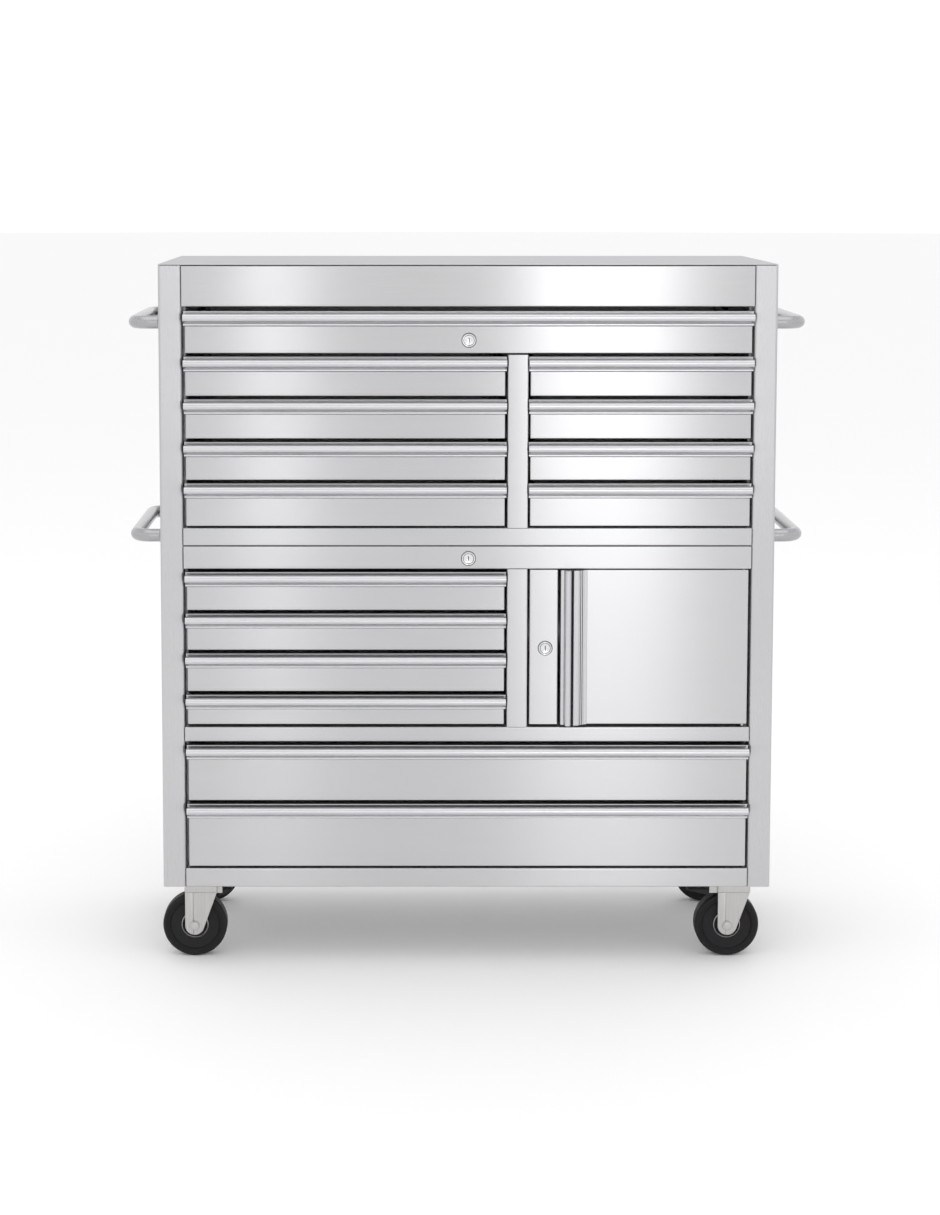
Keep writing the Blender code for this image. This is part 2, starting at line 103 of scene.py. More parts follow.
def studio_floor():
    shape = bmesh.new()
    bmesh.ops.create_circle(shape, cap_ends=True, segments=96, radius=60.0)
    mesh = bpy.data.meshes.new("studio_floor")
    shape.to_mesh(mesh)
    shape.free()
    floor = bpy.data.objects.new("studio_floor", mesh)
    floor.location = (0, 0, -0.0005)
    scene.collection.objects.link(floor)
    look = bpy.data.materials.new("studio_floor")
    look.use_nodes = True
    shader = look.node_tree.nodes["Principled BSDF"]
    shader.inputs["Base Color"].default_value = (0.97, 0.97, 0.97, 1)
    shader.inputs["Roughness"].default_value = 0.9
    mesh.materials.append(look)


def soft_panel(name, place, aim, size, power):
    light = bpy.data.lights.new(name, "AREA")
    light.shape = "RECTANGLE"
    light.size = size[0]
    light.size_y = size[1]
    light.energy = power
    panel = bpy.data.objects.new(name, light)
    panel.location = place
    panel.rotation_euler = (Vector(aim) - Vector(place)).to_track_quat("-Z", "Y").to_euler()
    scene.collection.objects.link(panel)


studio_world()
studio_floor()
soft_panel("panel_high", (0.0, -1.0, 5.5), (0.0, 0.0, 0.6), (6.0, 5.0), 60)
soft_panel("panel_right", (0.88, -7.0, 1.90), (0.88, 0.0, 1.90), (0.74, 3.7), 20)
soft_panel("panel_left", (-0.76, -7.0, 1.90), (-0.76, 0.0, 1.90), (0.26, 3.7), 6)


# ---- Side panels: folded sheet with the grain running up it ------------------------------
# Each side is one 1.5 mm stainless sheet. It folds round the front edge into a 44 mm stile and
# again into a return, so the same piece is the side, the corner and the frame of the fronts.
SHEET = 0.0015
TOUCH = 0.0003
side_low, side_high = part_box("right_side_panel")
FRONT, BACK = side_low.y, side_high.y
SIDE = side_high.x
STILE_EDGE = side_low.x
BODY_FLOOR, BODY_TOP = side_low.z, side_high.z
CABINET = "cabinet"


def noise(tree, where, scale, detail, stretch):
    """A noise pattern on Object coordinates, drawn out by the stretch along X, Y and Z."""
    mapping = tree.nodes.new("ShaderNodeMapping")
    mapping.inputs["Scale"].default_value = stretch
    tree.links.new(where, mapping.inputs["Vector"])
    pattern = tree.nodes.new("ShaderNodeTexNoise")
    pattern.inputs["Scale"].default_value = scale
    pattern.inputs["Detail"].default_value = detail
    tree.links.new(mapping.outputs[0], pattern.inputs["Vector"])
    return pattern.outputs["Fac"]


def ranged(tree, value, low, high):
    span = tree.nodes.new("ShaderNodeMapRange")
    span.inputs["From Min"].default_value = 0.3
    span.inputs["From Max"].default_value = 0.7
    span.inputs["To Min"].default_value = low
    span.inputs["To Max"].default_value = high
    tree.links.new(value, span.inputs["Value"])
    return span.outputs[0]


def mixed(tree, factor, dark, light):
    mix = tree.nodes.new("ShaderNodeMix")
    mix.data_type = "RGBA"
    mix.inputs[6].default_value = (*dark, 1)
    mix.inputs[7].default_value = (*light, 1)
    tree.links.new(factor, mix.inputs[0])
    return mix.outputs[2]


def brushed_metal(name, grain, dark, light, rough, depth=0.015, anisotropy=1.0):
    """Metal with a brushed grain along X, Y or Z: fine scratches, wide streaks and faint smears."""
    look = bpy.data.materials.new(name)
    look.use_nodes = True
    tree = look.node_tree
    shader = tree.nodes["Principled BSDF"]
    shader.inputs["Metallic"].default_value = 1.0
    shader.inputs["Anisotropic"].default_value = anisotropy
    shader.inputs["Anisotropic Rotation"].default_value = 0.25
    where = tree.nodes.new("ShaderNodeTexCoord").outputs["Object"]
    along = {"X": (0.012, 1, 1), "Y": (1, 0.012, 1), "Z": (1, 1, 0.012)}[grain]
    streak_along = {"X": (0.02, 1, 1), "Y": (1, 0.02, 1), "Z": (1, 1, 0.02)}[grain]
    scratches = noise(tree, where, 1400.0, 3.0, along)
    streaks = noise(tree, where, 300.0, 4.0, streak_along)
    smears = noise(tree, where, 5.0, 5.0, (1, 1, 1))
    blend = tree.nodes.new("ShaderNodeMath")
    blend.operation = "MULTIPLY_ADD"
    tree.links.new(streaks, blend.inputs[0])
    blend.inputs[1].default_value = 0.35
    weight = tree.nodes.new("ShaderNodeMath")
    weight.operation = "MULTIPLY"
    tree.links.new(scratches, weight.inputs[0])
    weight.inputs[1].default_value = 0.65
    tree.links.new(weight.outputs[0], blend.inputs[2])
    grain_value = blend.outputs[0]
    tree.links.new(mixed(tree, ranged(tree, grain_value, 0.0, 1.0), dark, light), shader.inputs["Base Color"])
    roughness = tree.nodes.new("ShaderNodeMath")
    roughness.operation = "ADD"
    tree.links.new(ranged(tree, grain_value, rough[0], rough[1]), roughness.inputs[0])
    tree.links.new(ranged(tree, smears, -0.008, 0.012), roughness.inputs[1])
    tree.links.new(roughness.outputs[0], shader.inputs["Roughness"])
    bump = tree.nodes.new("ShaderNodeBump")
    bump.inputs["Strength"].default_value = depth
    bump.inputs["Distance"].default_value = 0.0004
    tree.links.new(grain_value, bump.inputs["Height"])
    tree.links.new(bump.outputs[0], shader.inputs["Normal"])
    tangent = tree.nodes.new("ShaderNodeTangent")
    tangent.direction_type = "UV_MAP"
    tangent.uv_map = "grain"
    tree.links.new(tangent.outputs[0], shader.inputs["Tangent"])
    return look


def rounded_path(path, bend, steps=5):
    """An open line of (a, b) points with each corner turned into an arc."""
    points = [Vector(path[0])]
    for before, corner, after in zip(path, path[1:], path[2:]):
        into = (Vector(corner) - Vector(before)).normalized()
        out = (Vector(after) - Vector(corner)).normalized()
        turn = acos(max(-1.0, min(1.0, into.dot(out))))
        side = 1 if into.cross(out) > 0 else -1
        start = Vector(corner) - into * bend * tan(turn / 2)
        normal = Vector((-into.y, into.x)) * side
        centre = start + normal * bend
        for step in range(steps + 1):
            angle = side * turn * step / steps
            arm = Matrix.Rotation(angle, 2) @ (-normal * bend)
            points.append(centre + arm)
    points.append(Vector(path[-1]))
    return points


def sheet_outline(path, bend, thickness=SHEET):
    """Both faces of a folded sheet, as one closed outline round its middle line."""
    line = rounded_path(path, bend)
    left, right = [], []
    for i, point in enumerate(line):
        before = line[max(i - 1, 0)]
        after = line[min(i + 1, len(line) - 1)]
        tangent = (after - before).normalized()
        normal = Vector((-tangent.y, tangent.x)) * thickness / 2
        left.append(point + normal)
        right.append(point - normal)
    return [tuple(point) for point in left + right[::-1]]


def drawn_out(outline, axis, low, high):
    """A closed outline drawn out along X, Y or Z, as a solid with two flat ends."""
    put = {"X": lambda a, b, t: (t, a, b), "Y": lambda a, b, t: (a, t, b), "Z": lambda a, b, t: (a, b, t)}
    shape = bmesh.new()
    near = [shape.verts.new(put[axis](a, b, low)) for a, b in outline]
    far = [shape.verts.new(put[axis](a, b, high)) for a, b in outline]
    count = len(outline)
    for i in range(count):
        after = (i + 1) % count
        shape.faces.new((near[i], near[after], far[after], far[i]))
    shape.faces.new(near[::-1])
    shape.faces.new(far)
    bmesh.ops.recalc_face_normals(shape, faces=shape.faces)
    return shape


def rounded_box(low, high, edge, steps=3):
    shape = bmesh.new()
    bmesh.ops.create_cube(shape, size=1.0)
    size = Vector(high) - Vector(low)
    bmesh.ops.scale(shape, vec=size, verts=shape.verts)
    bmesh.ops.translate(shape, vec=(Vector(high) + Vector(low)) / 2, verts=shape.verts)
    if edge:
        edges = list(shape.edges)
        bmesh.ops.bevel(shape, geom=edges, offset=edge, segments=steps, profile=0.5, affect="EDGES")
    return shape


def add_grain_map(mesh, grain):
    """Lays a UV map on a mesh with U along the grain, which turns the shine of brushed metal."""
    run = {"X": Vector((1, 0, 0)), "Y": Vector((0, 1, 0)), "Z": Vector((0, 0, 1))}[grain]
    spare = Vector((0, 0, 1)) if grain != "Z" else Vector((0, 1, 0))
    layer = mesh.uv_layers.new(name="grain")
    for face in mesh.polygons:
        normal = face.normal
        along = run if abs(normal.dot(run)) < 0.9 else spare
        along = (along - normal * along.dot(normal)).normalized()
        across = normal.cross(along)
        for corner in face.loop_indices:
            place = mesh.vertices[mesh.loops[corner].vertex_index].co
            layer.data[corner].uv = (place.dot(along), place.dot(across))


def join(shapes):
    whole = bmesh.new()
    for shape in shapes:
        spare = bpy.data.meshes.new("spare")
        shape.to_mesh(spare)
        shape.free()
        whole.from_mesh(spare)
        bpy.data.meshes.remove(spare)
    return whole


def corner_normals(mesh, smooth):
    """Blends each corner over its neighbours within an angle, by area, so flat faces stay flat."""
    limit = cos(radians(smooth))
    around = [[] for _ in mesh.vertices]
    facing = [(face.normal.copy(), face.area) for face in mesh.polygons]
    for face in mesh.polygons:
        for vertex in face.vertices:
            around[vertex].append(face.index)
    normals = [None] * len(mesh.loops)
    for face in mesh.polygons:
        own = facing[face.index][0]
        for corner in face.loop_indices:
            total = Vector((0, 0, 0))
            for other in around[mesh.loops[corner].vertex_index]:
                normal, area = facing[other]
                if normal.dot(own) > limit:
                    total += normal * area
            normals[corner] = total.normalized() if total.length > 0 else own
    return normals


def piece(name, shape, look, body, stands_for=(), grain="X", smooth=40):
    mesh = bpy.data.meshes.new(name)
    shape.to_mesh(mesh)
    shape.free()
    mesh.shade_smooth()
    mesh.normals_split_custom_set(corner_normals(mesh, smooth))
    add_grain_map(mesh, grain)
    mesh.materials.append(look)
    made = bpy.data.objects.new(name, mesh)
    scene.collection.objects.link(made)
    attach(made, body)
    if stands_for:
        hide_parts(*stands_for)
    return made


# The upright copy of the brushed steel is painted a little lighter and the level copy a little darker:
# painted light on the side panels and back, painted shade on the fronts, rails and lid.
UPRIGHT_DARK, UPRIGHT_LIGHT = (0.55, 0.548, 0.557), (0.59, 0.588, 0.597)
steel_upright = brushed_metal("brushed_steel_upright", "Z", UPRIGHT_DARK, UPRIGHT_LIGHT, (0.26, 0.30))
STEEL_DARK, STEEL_LIGHT = (0.518, 0.516, 0.525), (0.558, 0.556, 0.565)
steel_level = brushed_metal("brushed_steel_level", "X", STEEL_DARK, STEEL_LIGHT, (0.23, 0.26))
MILL_DARK, MILL_LIGHT = (0.50, 0.50, 0.51), (0.60, 0.60, 0.61)
steel_plain = brushed_metal("mill_steel", "Y", MILL_DARK, MILL_LIGHT, (0.36, 0.46), anisotropy=0.3)

STILE_RETURN = 0.030
for side, label in ((-1, "left"), (1, "right")):
    outer = side * (SIDE - SHEET / 2)
    inner = side * (STILE_EDGE + SHEET / 2)
    line = [
        (side * (SIDE - 0.020), BACK - SHEET / 2 - 0.0022),
        (outer, BACK - SHEET / 2 - 0.0022),
        (outer, FRONT + SHEET / 2),
        (inner, FRONT + SHEET / 2),
        (inner, FRONT + STILE_RETURN),
    ]
    outline = sheet_outline(line, 0.0045)
    panel = drawn_out(outline, "Z", BODY_FLOOR, BODY_TOP - 0.0008)
    piece(f"{label}_side_panel_sheet", panel, steel_upright, CABINET,
          (f"{label}_side_panel",), "Z")


# ---- Slide uprights: hat-section posts inside the side panels ------------------------------
# Two pressed posts stand inside each side panel, front and rear, and hold the drawer slides.
POST_FACE = 0.5348
POST_WIDTH = 0.040
for side, label in ((-1, "left"), (1, "right")):
    for place, y in (("front", FRONT + 0.060), ("rear", BACK - 0.120)):
        wall = side * (SIDE - SHEET - 0.0012)
        face = side * (POST_FACE + 0.0006)
        line = [
            (wall, y - POST_WIDTH / 2 - 0.012),
            (wall, y - POST_WIDTH / 2),
            (face, y - POST_WIDTH / 2),
            (face, y + POST_WIDTH / 2),
            (wall, y + POST_WIDTH / 2),
            (wall, y + POST_WIDTH / 2 + 0.012),
        ]
        post = drawn_out(sheet_outline(line, 0.002, 0.0012), "Z", BODY_FLOOR + 0.004, BODY_TOP - 0.004)
        piece(f"{label}_{place}_slide_post", post, steel_plain, CABINET, grain="Z")


# ---- Lid and fascia ------------------------------------------------------------------------
# The lid is one sheet over the whole cabinet. Its front turns down between the stiles as the
# 80 mm fascia, with a return at the foot.
lid_low, lid_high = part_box("top_panel")
FASCIA_HALF = STILE_EDGE - TOUCH
lid_line = [
    (FRONT + 0.030, lid_low.z + SHEET / 2),
    (FRONT + SHEET / 2, lid_low.z + SHEET / 2),
    (FRONT + SHEET / 2, lid_high.z - SHEET * 1.5 - 0.0014),
    (FRONT + 0.040, lid_high.z - SHEET * 1.5 - 0.0014),
]
fascia = drawn_out(sheet_outline(lid_line, 0.0016), "X", -FASCIA_HALF, FASCIA_HALF)
lid = rounded_box((-SIDE, FRONT, lid_high.z - SHEET), (SIDE, BACK, lid_high.z), 0.0006)
lid_steel_shaded = brushed_metal("brushed_steel_lid", "X", STEEL_DARK, STEEL_LIGHT, (0.30, 0.36))
# The lid's copy of the level steel has its specular tint lowered: painted shade that dims the top of the
# chest.
lid_steel_shaded.node_tree.nodes["Principled BSDF"].inputs["Specular Tint"].default_value = (0.66, 0.655, 0.69, 1)
piece("lid", lid, lid_steel_shaded, CABINET, ("top_panel",))
piece("lid_fascia", fascia, steel_level, CABINET)


# ---- Rails and their shelves ---------------------------------------------------------------
# Each rail is a folded channel between the stiles. The lock rail and the lower rail carry a
# shelf that runs to the back panel and closes the door compartment at its top and bottom.
REAR = BACK - 0.004
for name, shelf in (("upper_rail", False), ("lock_rail", True), ("lower_rail", True)):
    low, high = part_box(name)
    depth = REAR if shelf else FRONT + 0.025
    line = [
        (FRONT + 0.025, low.z + SHEET / 2),
        (FRONT + SHEET / 2, low.z + SHEET / 2),
        (FRONT + SHEET / 2, high.z - SHEET / 2),
        (depth, high.z - SHEET / 2),
    ]
    rail = drawn_out(sheet_outline(line, 0.0016), "X", -FASCIA_HALF, FASCIA_HALF)
    piece(f"{name}_channel", rail, steel_level, CABINET, (name,))


# ---- Dividers and the lock stile -----------------------------------------------------------
# The upright posts between the left and right banks are folded channels whose sides run back
# to the rear panel. The lock stile beside the door is a narrow channel of its own.
for name in ("upper_divider", "lower_divider"):
    low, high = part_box(name)
    line = [
        (low.x + SHEET / 2, REAR),
        (low.x + SHEET / 2, FRONT + SHEET / 2),
        (high.x - SHEET / 2, FRONT + SHEET / 2),
        (high.x - SHEET / 2, REAR),
    ]
    post = drawn_out(sheet_outline(line, 0.0016), "Z", low.z, high.z)
    piece(f"{name}_post", post, steel_level, CABINET, (name,))

low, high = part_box("lock_stile")
line = [
    (low.x + SHEET / 2, FRONT + 0.025),
    (low.x + SHEET / 2, FRONT + SHEET / 2),
    (high.x - SHEET / 2, FRONT + SHEET / 2),
    (high.x - SHEET / 2, FRONT + 0.013),
]
stile = drawn_out(sheet_outline(line, 0.0016), "Z", low.z, high.z)
piece("lock_stile_channel", stile, steel_level, CABINET, ("lock_stile",))


# ---- Back panel and its rivets -------------------------------------------------------------
# A flat rear sheet, pressed with two long shallow ribs for stiffness and riveted to the
# flanges of the side panels, the lid and the floor pan.
def fastener_tree():
    """Heads on points: a washer, a head with any number of sides, and a small crown."""
    tree = bpy.data.node_groups.new("fastener_heads", "GeometryNodeTree")
    face = tree.interface
    face.new_socket("Points", in_out="INPUT", socket_type="NodeSocketGeometry")
    for name, value in (("Head Radius", 0.004), ("Head Height", 0.003), ("Washer Radius", 0.0055)):
        socket = face.new_socket(name, in_out="INPUT", socket_type="NodeSocketFloat")
        socket.default_value = value
    sides = face.new_socket("Sides", in_out="INPUT", socket_type="NodeSocketInt")
    sides.default_value = 6
    face.new_socket("Finish", in_out="INPUT", socket_type="NodeSocketMaterial")
    face.new_socket("Geometry", in_out="OUTPUT", socket_type="NodeSocketGeometry")
    nodes, links = tree.nodes, tree.links
    given = nodes.new("NodeGroupInput")
    result = nodes.new("NodeGroupOutput")

    def drum(radius, height, count, top=None):
        cone = nodes.new("GeometryNodeMeshCone")
        links.new(count, cone.inputs["Vertices"])
        links.new(radius, cone.inputs["Radius Bottom"])
        links.new(radius if top is None else top, cone.inputs["Radius Top"])
        links.new(height, cone.inputs["Depth"])
        return cone.outputs["Mesh"]

    def scaled(value, factor):
        maths = nodes.new("ShaderNodeMath")
        maths.operation = "MULTIPLY"
        links.new(value, maths.inputs[0])
        maths.inputs[1].default_value = factor
        return maths.outputs[0]

    def lifted(mesh, height):
        move = nodes.new("GeometryNodeTransform")
        offset = nodes.new("ShaderNodeCombineXYZ")
        links.new(height, offset.inputs["Z"])
        links.new(mesh, move.inputs["Geometry"])
        links.new(offset.outputs[0], move.inputs["Translation"])
        return move.outputs["Geometry"]

    round_sides = nodes.new("FunctionNodeInputInt")
    round_sides.integer = 20
    washer_height = scaled(given.outputs["Head Height"], 0.25)
    washer = drum(given.outputs["Washer Radius"], washer_height, round_sides.outputs[0],
                  scaled(given.outputs["Washer Radius"], 0.92))
    head_radius = given.outputs["Head Radius"]
    head_height = given.outputs["Head Height"]
    body = drum(head_radius, scaled(head_height, 0.55), given.outputs["Sides"])
    crown = drum(head_radius, scaled(head_height, 0.2), given.outputs["Sides"],
                 scaled(given.outputs["Head Radius"], 0.78))
    whole = nodes.new("GeometryNodeJoinGeometry")
    links.new(washer, whole.inputs[0])
    links.new(lifted(body, washer_height), whole.inputs[0])
    links.new(lifted(crown, scaled(given.outputs["Head Height"], 0.8)), whole.inputs[0])
    facing = nodes.new("GeometryNodeInputNamedAttribute")
    facing.data_type = "FLOAT_VECTOR"
    facing.inputs["Name"].default_value = "facing"
    turn = nodes.new("FunctionNodeAlignRotationToVector")
    turn.axis = "Z"
    links.new(facing.outputs["Attribute"], turn.inputs["Vector"])
    spread = nodes.new("GeometryNodeInstanceOnPoints")
    links.new(given.outputs["Points"], spread.inputs["Points"])
    links.new(whole.outputs[0], spread.inputs["Instance"])
    links.new(turn.outputs[0], spread.inputs["Rotation"])
    real = nodes.new("GeometryNodeRealizeInstances")
    links.new(spread.outputs[0], real.inputs[0])
    paint = nodes.new("GeometryNodeSetMaterial")
    links.new(real.outputs[0], paint.inputs["Geometry"])
    links.new(given.outputs["Finish"], paint.inputs["Material"])
    links.new(paint.outputs[0], result.inputs["Geometry"])
    return tree


FASTENERS = fastener_tree()


def plain_mesh_of(source, name, look, body):
    """Turns an object with a live modifier into a plain finished piece."""
    bpy.context.view_layer.update()
    graph = bpy.context.evaluated_depsgraph_get()
    mesh = bpy.data.meshes.new_from_object(source.evaluated_get(graph))
    bpy.data.objects.remove(source)
    shape = bmesh.new()
    shape.from_mesh(mesh)
    bpy.data.meshes.remove(mesh)
    return piece(name, shape, look, body)


def fasteners(name, places, facing, look, body, radius, height, washer, sides):
    mesh = bpy.data.meshes.new(name)
    mesh.from_pydata([tuple(place) for place in places], [], [])
    direction = mesh.attributes.new("facing", "FLOAT_VECTOR", "POINT")
    for entry in direction.data:
        entry.vector = facing
    source = bpy.data.objects.new(f"{name}_points", mesh)
    scene.collection.objects.link(source)
    modifier = source.modifiers.new("Heads", "NODES")
    modifier.node_group = FASTENERS
    values = {"Head Radius": radius, "Head Height": height, "Washer Radius": washer}
    values.update({"Sides": sides, "Finish": look})
    for item in FASTENERS.interface.items_tree:
        if item.in_out == "INPUT" and item.name in values:
            modifier[item.identifier] = values[item.name]
    return plain_mesh_of(source, name, look, body)


ZINC_DARK, ZINC_LIGHT = (0.46, 0.45, 0.44), (0.58, 0.57, 0.555)
zinc = brushed_metal("bright_zinc", "Z", ZINC_DARK, ZINC_LIGHT, (0.28, 0.40), anisotropy=0.3)
back_low, back_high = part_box("back_panel")
BACK_INSET = 0.004
back_sheet = rounded_box((back_low.x + BACK_INSET, back_low.y, back_low.z),
                         (back_high.x - BACK_INSET, back_high.y, back_high.z), 0.0004, 2)
beads = []
for x in (-0.39, -0.13, 0.13, 0.39):
    beads.append(rounded_box((x - 0.008, back_high.y - 0.0008, back_low.z + 0.08),
                             (x + 0.008, back_high.y + 0.0018, back_high.z - 0.08), 0.0017, 4))
piece("back_panel_sheet", join([back_sheet, *beads]), steel_upright, CABINET,
      ("back_panel",), "Z")
RIVET_PITCH = 0.118
rivets = []
count = int((back_high.z - back_low.z - 0.05) / RIVET_PITCH)
for row in range(count + 1):
    z = back_low.z + 0.025 + (back_high.z - back_low.z - 0.05) * row / count
    for x in (back_low.x + 0.016, back_high.x - 0.016):
        rivets.append((x, back_high.y - 0.0002, z))
for column in range(1, 9):
    x = back_low.x + 0.009 + (back_high.x - back_low.x - 0.018) * column / 9
    for z in (back_low.z + 0.012, back_high.z - 0.012):
        rivets.append((x, back_high.y - 0.0002, z))
fasteners("back_panel_rivets", rivets, (0, 1, 0), zinc, CABINET, 0.0030, 0.0018, 0.0045, 16)


# ---- Floor pan, bottom rail and the lock rod's end -----------------------------------------
# The floor pan folds up at the front as the bottom rail and up again at the rear. The rod that
# the door lock pulls comes through it and ends in a nut.
RAIL_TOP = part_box("base_pan")[1].z
pan_line = [
    (FRONT + 0.025, RAIL_TOP - SHEET / 2),
    (FRONT + SHEET / 2, RAIL_TOP - SHEET / 2),
    (FRONT + SHEET / 2, BODY_FLOOR + SHEET / 2),
    (REAR, BODY_FLOOR + SHEET / 2),
    (REAR, RAIL_TOP - SHEET / 2),
]
pan = drawn_out(sheet_outline(pan_line, 0.0016), "X", -FASCIA_HALF, FASCIA_HALF)
piece("floor_pan", pan, steel_level, CABINET, ("base_pan",))
for side, label in ((-1, "left"), (1, "right")):
    edge = sorted((side * (FASCIA_HALF + 0.0004), side * (SIDE - SHEET - TOUCH)))
    strip = rounded_box((edge[0], FRONT + STILE_RETURN + 0.003, BODY_FLOOR + 0.0002),
                        (edge[1], REAR, BODY_FLOOR + SHEET), 0.0004, 1)
    piece(f"{label}_floor_edge", strip, steel_plain, CABINET, grain="Y")
ROD_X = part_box("door_lock")[0].x + 0.0135
fasteners("lock_rod_end", [(ROD_X, FRONT + 0.030, BODY_FLOOR)], (0, 0, -1), zinc, CABINET,
          0.0065, 0.0070, 0.0110, 6)


# ---- Drawers: trays, fronts and slides -----------------------------------------------------
# A drawer is a spot-welded open tray with rolled top edges, a hollow pressed front whose edges
# are folded back, and one moving slide rail on each flank in the fixed rail on the cabinet.
FRONT_THICKNESS = 0.012
SLIDE_THICKNESS = 0.0105
SLIDE_DARK, SLIDE_LIGHT = (0.50, 0.50, 0.50), (0.64, 0.64, 0.64)
slide_steel = brushed_metal("slide_steel", "Y", SLIDE_DARK, SLIDE_LIGHT, (0.28, 0.38), anisotropy=0.3)


def tray_shape(low, high, wall=0.0012):
    """Open tray with bent corners, a floor, and a rolled bead round its rim."""
    shape = bmesh.new()
    bmesh.ops.create_cube(shape, size=1.0)
    bmesh.ops.scale(shape, vec=Vector(high) - Vector(low), verts=shape.verts)
    bmesh.ops.translate(shape, vec=(Vector(high) + Vector(low)) / 2, verts=shape.verts)
    lid_face = [face for face in shape.faces if face.normal.z > 0.9]
    bmesh.ops.delete(shape, geom=lid_face, context="FACES_ONLY")
    bends = [edge for edge in shape.edges if not edge.is_boundary]
    bmesh.ops.bevel(shape, geom=bends, offset=0.003, segments=3, profile=0.5, affect="EDGES")
    outer = list(shape.faces)
    copy = bmesh.ops.duplicate(shape, geom=list(shape.verts) + list(shape.edges) + outer)
    inner = [item for item in copy["geom"] if isinstance(item, bmesh.types.BMFace)]
    moved = {vert for face in inner for vert in face.verts}
    middle = (Vector(high) + Vector(low)) / 2
    half = (Vector(high) - Vector(low)) / 2
    for vert in moved:
        for axis in (0, 1):
            offset = vert.co[axis] - middle[axis]
            vert.co[axis] = middle[axis] + offset * (half[axis] - wall) / half[axis]
        if vert.co.z < high[2] - 1e-6:
            vert.co.z = low[2] + wall + (vert.co.z - low[2]) * (1 - wall / (high[2] - low[2]))
    bmesh.ops.reverse_faces(shape, faces=inner)
    rims = [edge for edge in shape.edges if edge.is_boundary]
    bmesh.ops.bridge_loops(shape, edges=rims)
    bmesh.ops.recalc_face_normals(shape, faces=shape.faces)
    return shape


def slide_rail(x_outer, x_inner, y_front, y_back, middle, height):
    """C-section of a slide rail, open towards its partner."""
    lip = 0.0045 if x_inner > x_outer else -0.0045
    thin = 0.0011
    back = x_outer + (thin / 2 if lip > 0 else -thin / 2)
    line = [
        (back + lip, middle - height / 2),
        (back, middle - height / 2),
        (back, middle + height / 2),
        (back + lip, middle + height / 2),
    ]
    return drawn_out(sheet_outline(line, 0.0012, thin), "Y", y_front, y_back)


drawers = [joint["child"] for joint in frame["joints"] if joint["type"] == "slide"]
for name in drawers:
    low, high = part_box(name)
    pull_low, pull_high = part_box(f"{name}_pull")
    tray_low = Vector((low.x + 0.013, FRONT + FRONT_THICKNESS, low.z + 0.006))
    tray_high = Vector((high.x - 0.013, high.y, high.z))
    tray = tray_shape(tray_low, tray_high)
    beads = []
    for x in (tray_low.x + 0.0011, tray_high.x - 0.0011):
        beads.append(rounded_box((x - 0.0011, tray_low.y, high.z - 0.0022),
                                 (x + 0.0011, tray_high.y, high.z), 0.0009))
    piece(f"{name}_tray", join([tray, *beads]), steel_plain, name, grain="Y")
    face_top = pull_low.z - TOUCH
    front = rounded_box((low.x, FRONT, low.z), (high.x, FRONT + FRONT_THICKNESS, face_top), 0.0018, 4)
    neck = rounded_box((low.x + 0.014, FRONT + FRONT_THICKNESS - 0.002, face_top - 0.004),
                       (high.x - 0.014, FRONT + FRONT_THICKNESS + 0.0002, high.z), 0.0004, 1)
    piece(f"{name}_front", join([front, neck]), steel_level, name, (name,))
    middle = (tray_low.z + tray_high.z) / 2
    rail_height = min(0.042, tray_high.z - tray_low.z - 0.008)
    for side, flank in ((-1, tray_low.x - 0.0004), (1, tray_high.x + 0.0004)):
        label = "left" if side < 0 else "right"
        moving = slide_rail(flank, flank + side * SLIDE_THICKNESS, FRONT + 0.018, high.y - 0.004,
                            middle, rail_height - 0.009)
        piece(f"{name}_{label}_moving_rail", moving, slide_steel, name, grain="Y")
        wall = flank + side * SLIDE_THICKNESS
        fixed = slide_rail(wall, flank, FRONT + 0.020, high.y - 0.002, middle, rail_height)
        piece(f"{name}_{label}_fixed_rail", fixed, slide_steel, CABINET, grain="Y")


# ---- Drawer pulls --------------------------------------------------------------------------
# Satin aluminium extrusions as long as the fronts: a foot with a bright ridge, a lip that curls
# up and over for the fingertips, and a back wall with a bead along its top.
SATIN_DARK, SATIN_LIGHT = (0.55, 0.55, 0.565), (0.62, 0.62, 0.635)
aluminium = brushed_metal("satin_aluminium", "X", SATIN_DARK, SATIN_LIGHT, (0.24, 0.31), 0.02, 0.5)
PULL_HEIGHT = pull_high.z - pull_low.z


def arc(centre, radius, start, end, steps):
    spread = [radians(start + (end - start) * i / steps) for i in range(steps + 1)]
    return [(centre[0] + radius * cos(angle), centre[1] + radius * sin(angle)) for angle in spread]


def pull_section():
    """Points (out, up) round the extrusion, starting at the foot."""
    foot = [(-0.0062, 0.0), *arc((0.0034, 0.0011), 0.0011, -90, 0, 4)]
    foot += arc((0.0037, 0.0030), 0.0008, 0, 90, 3)
    step = [(0.0052, 0.0042), (0.0060, 0.0043)]
    curl = arc((0.0105, 0.0152), 0.0080, -62, 96, 18)
    tip = arc((0.0098, 0.0221), 0.0010, 96, 260, 4)
    inside = arc((0.0105, 0.0152), 0.0058, 96, -60, 14)
    floor = [(0.0085, 0.0087), *arc((-0.0035, 0.0097), 0.0010, -90, -180, 3)]
    bead = [(-0.0045, 0.0258), (0.0018, 0.0258), *arc((0.0022, PULL_HEIGHT - 0.0012), 0.0009, -60, 90, 6)]
    web = [(-0.0108, PULL_HEIGHT - TOUCH), (-0.0108, PULL_HEIGHT - 0.0018), (-0.0062, PULL_HEIGHT - 0.0018)]
    return [*foot, *step, *curl, *tip, *inside, *floor, *bead, *web]


for name in drawers:
    low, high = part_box(f"{name}_pull")
    outline = [(FRONT - out, low.z + up) for out, up in pull_section()]
    bar = drawn_out(outline, "X", low.x, high.x)
    piece(f"{name}_pull_bar", bar, aluminium, name, (f"{name}_pull",))


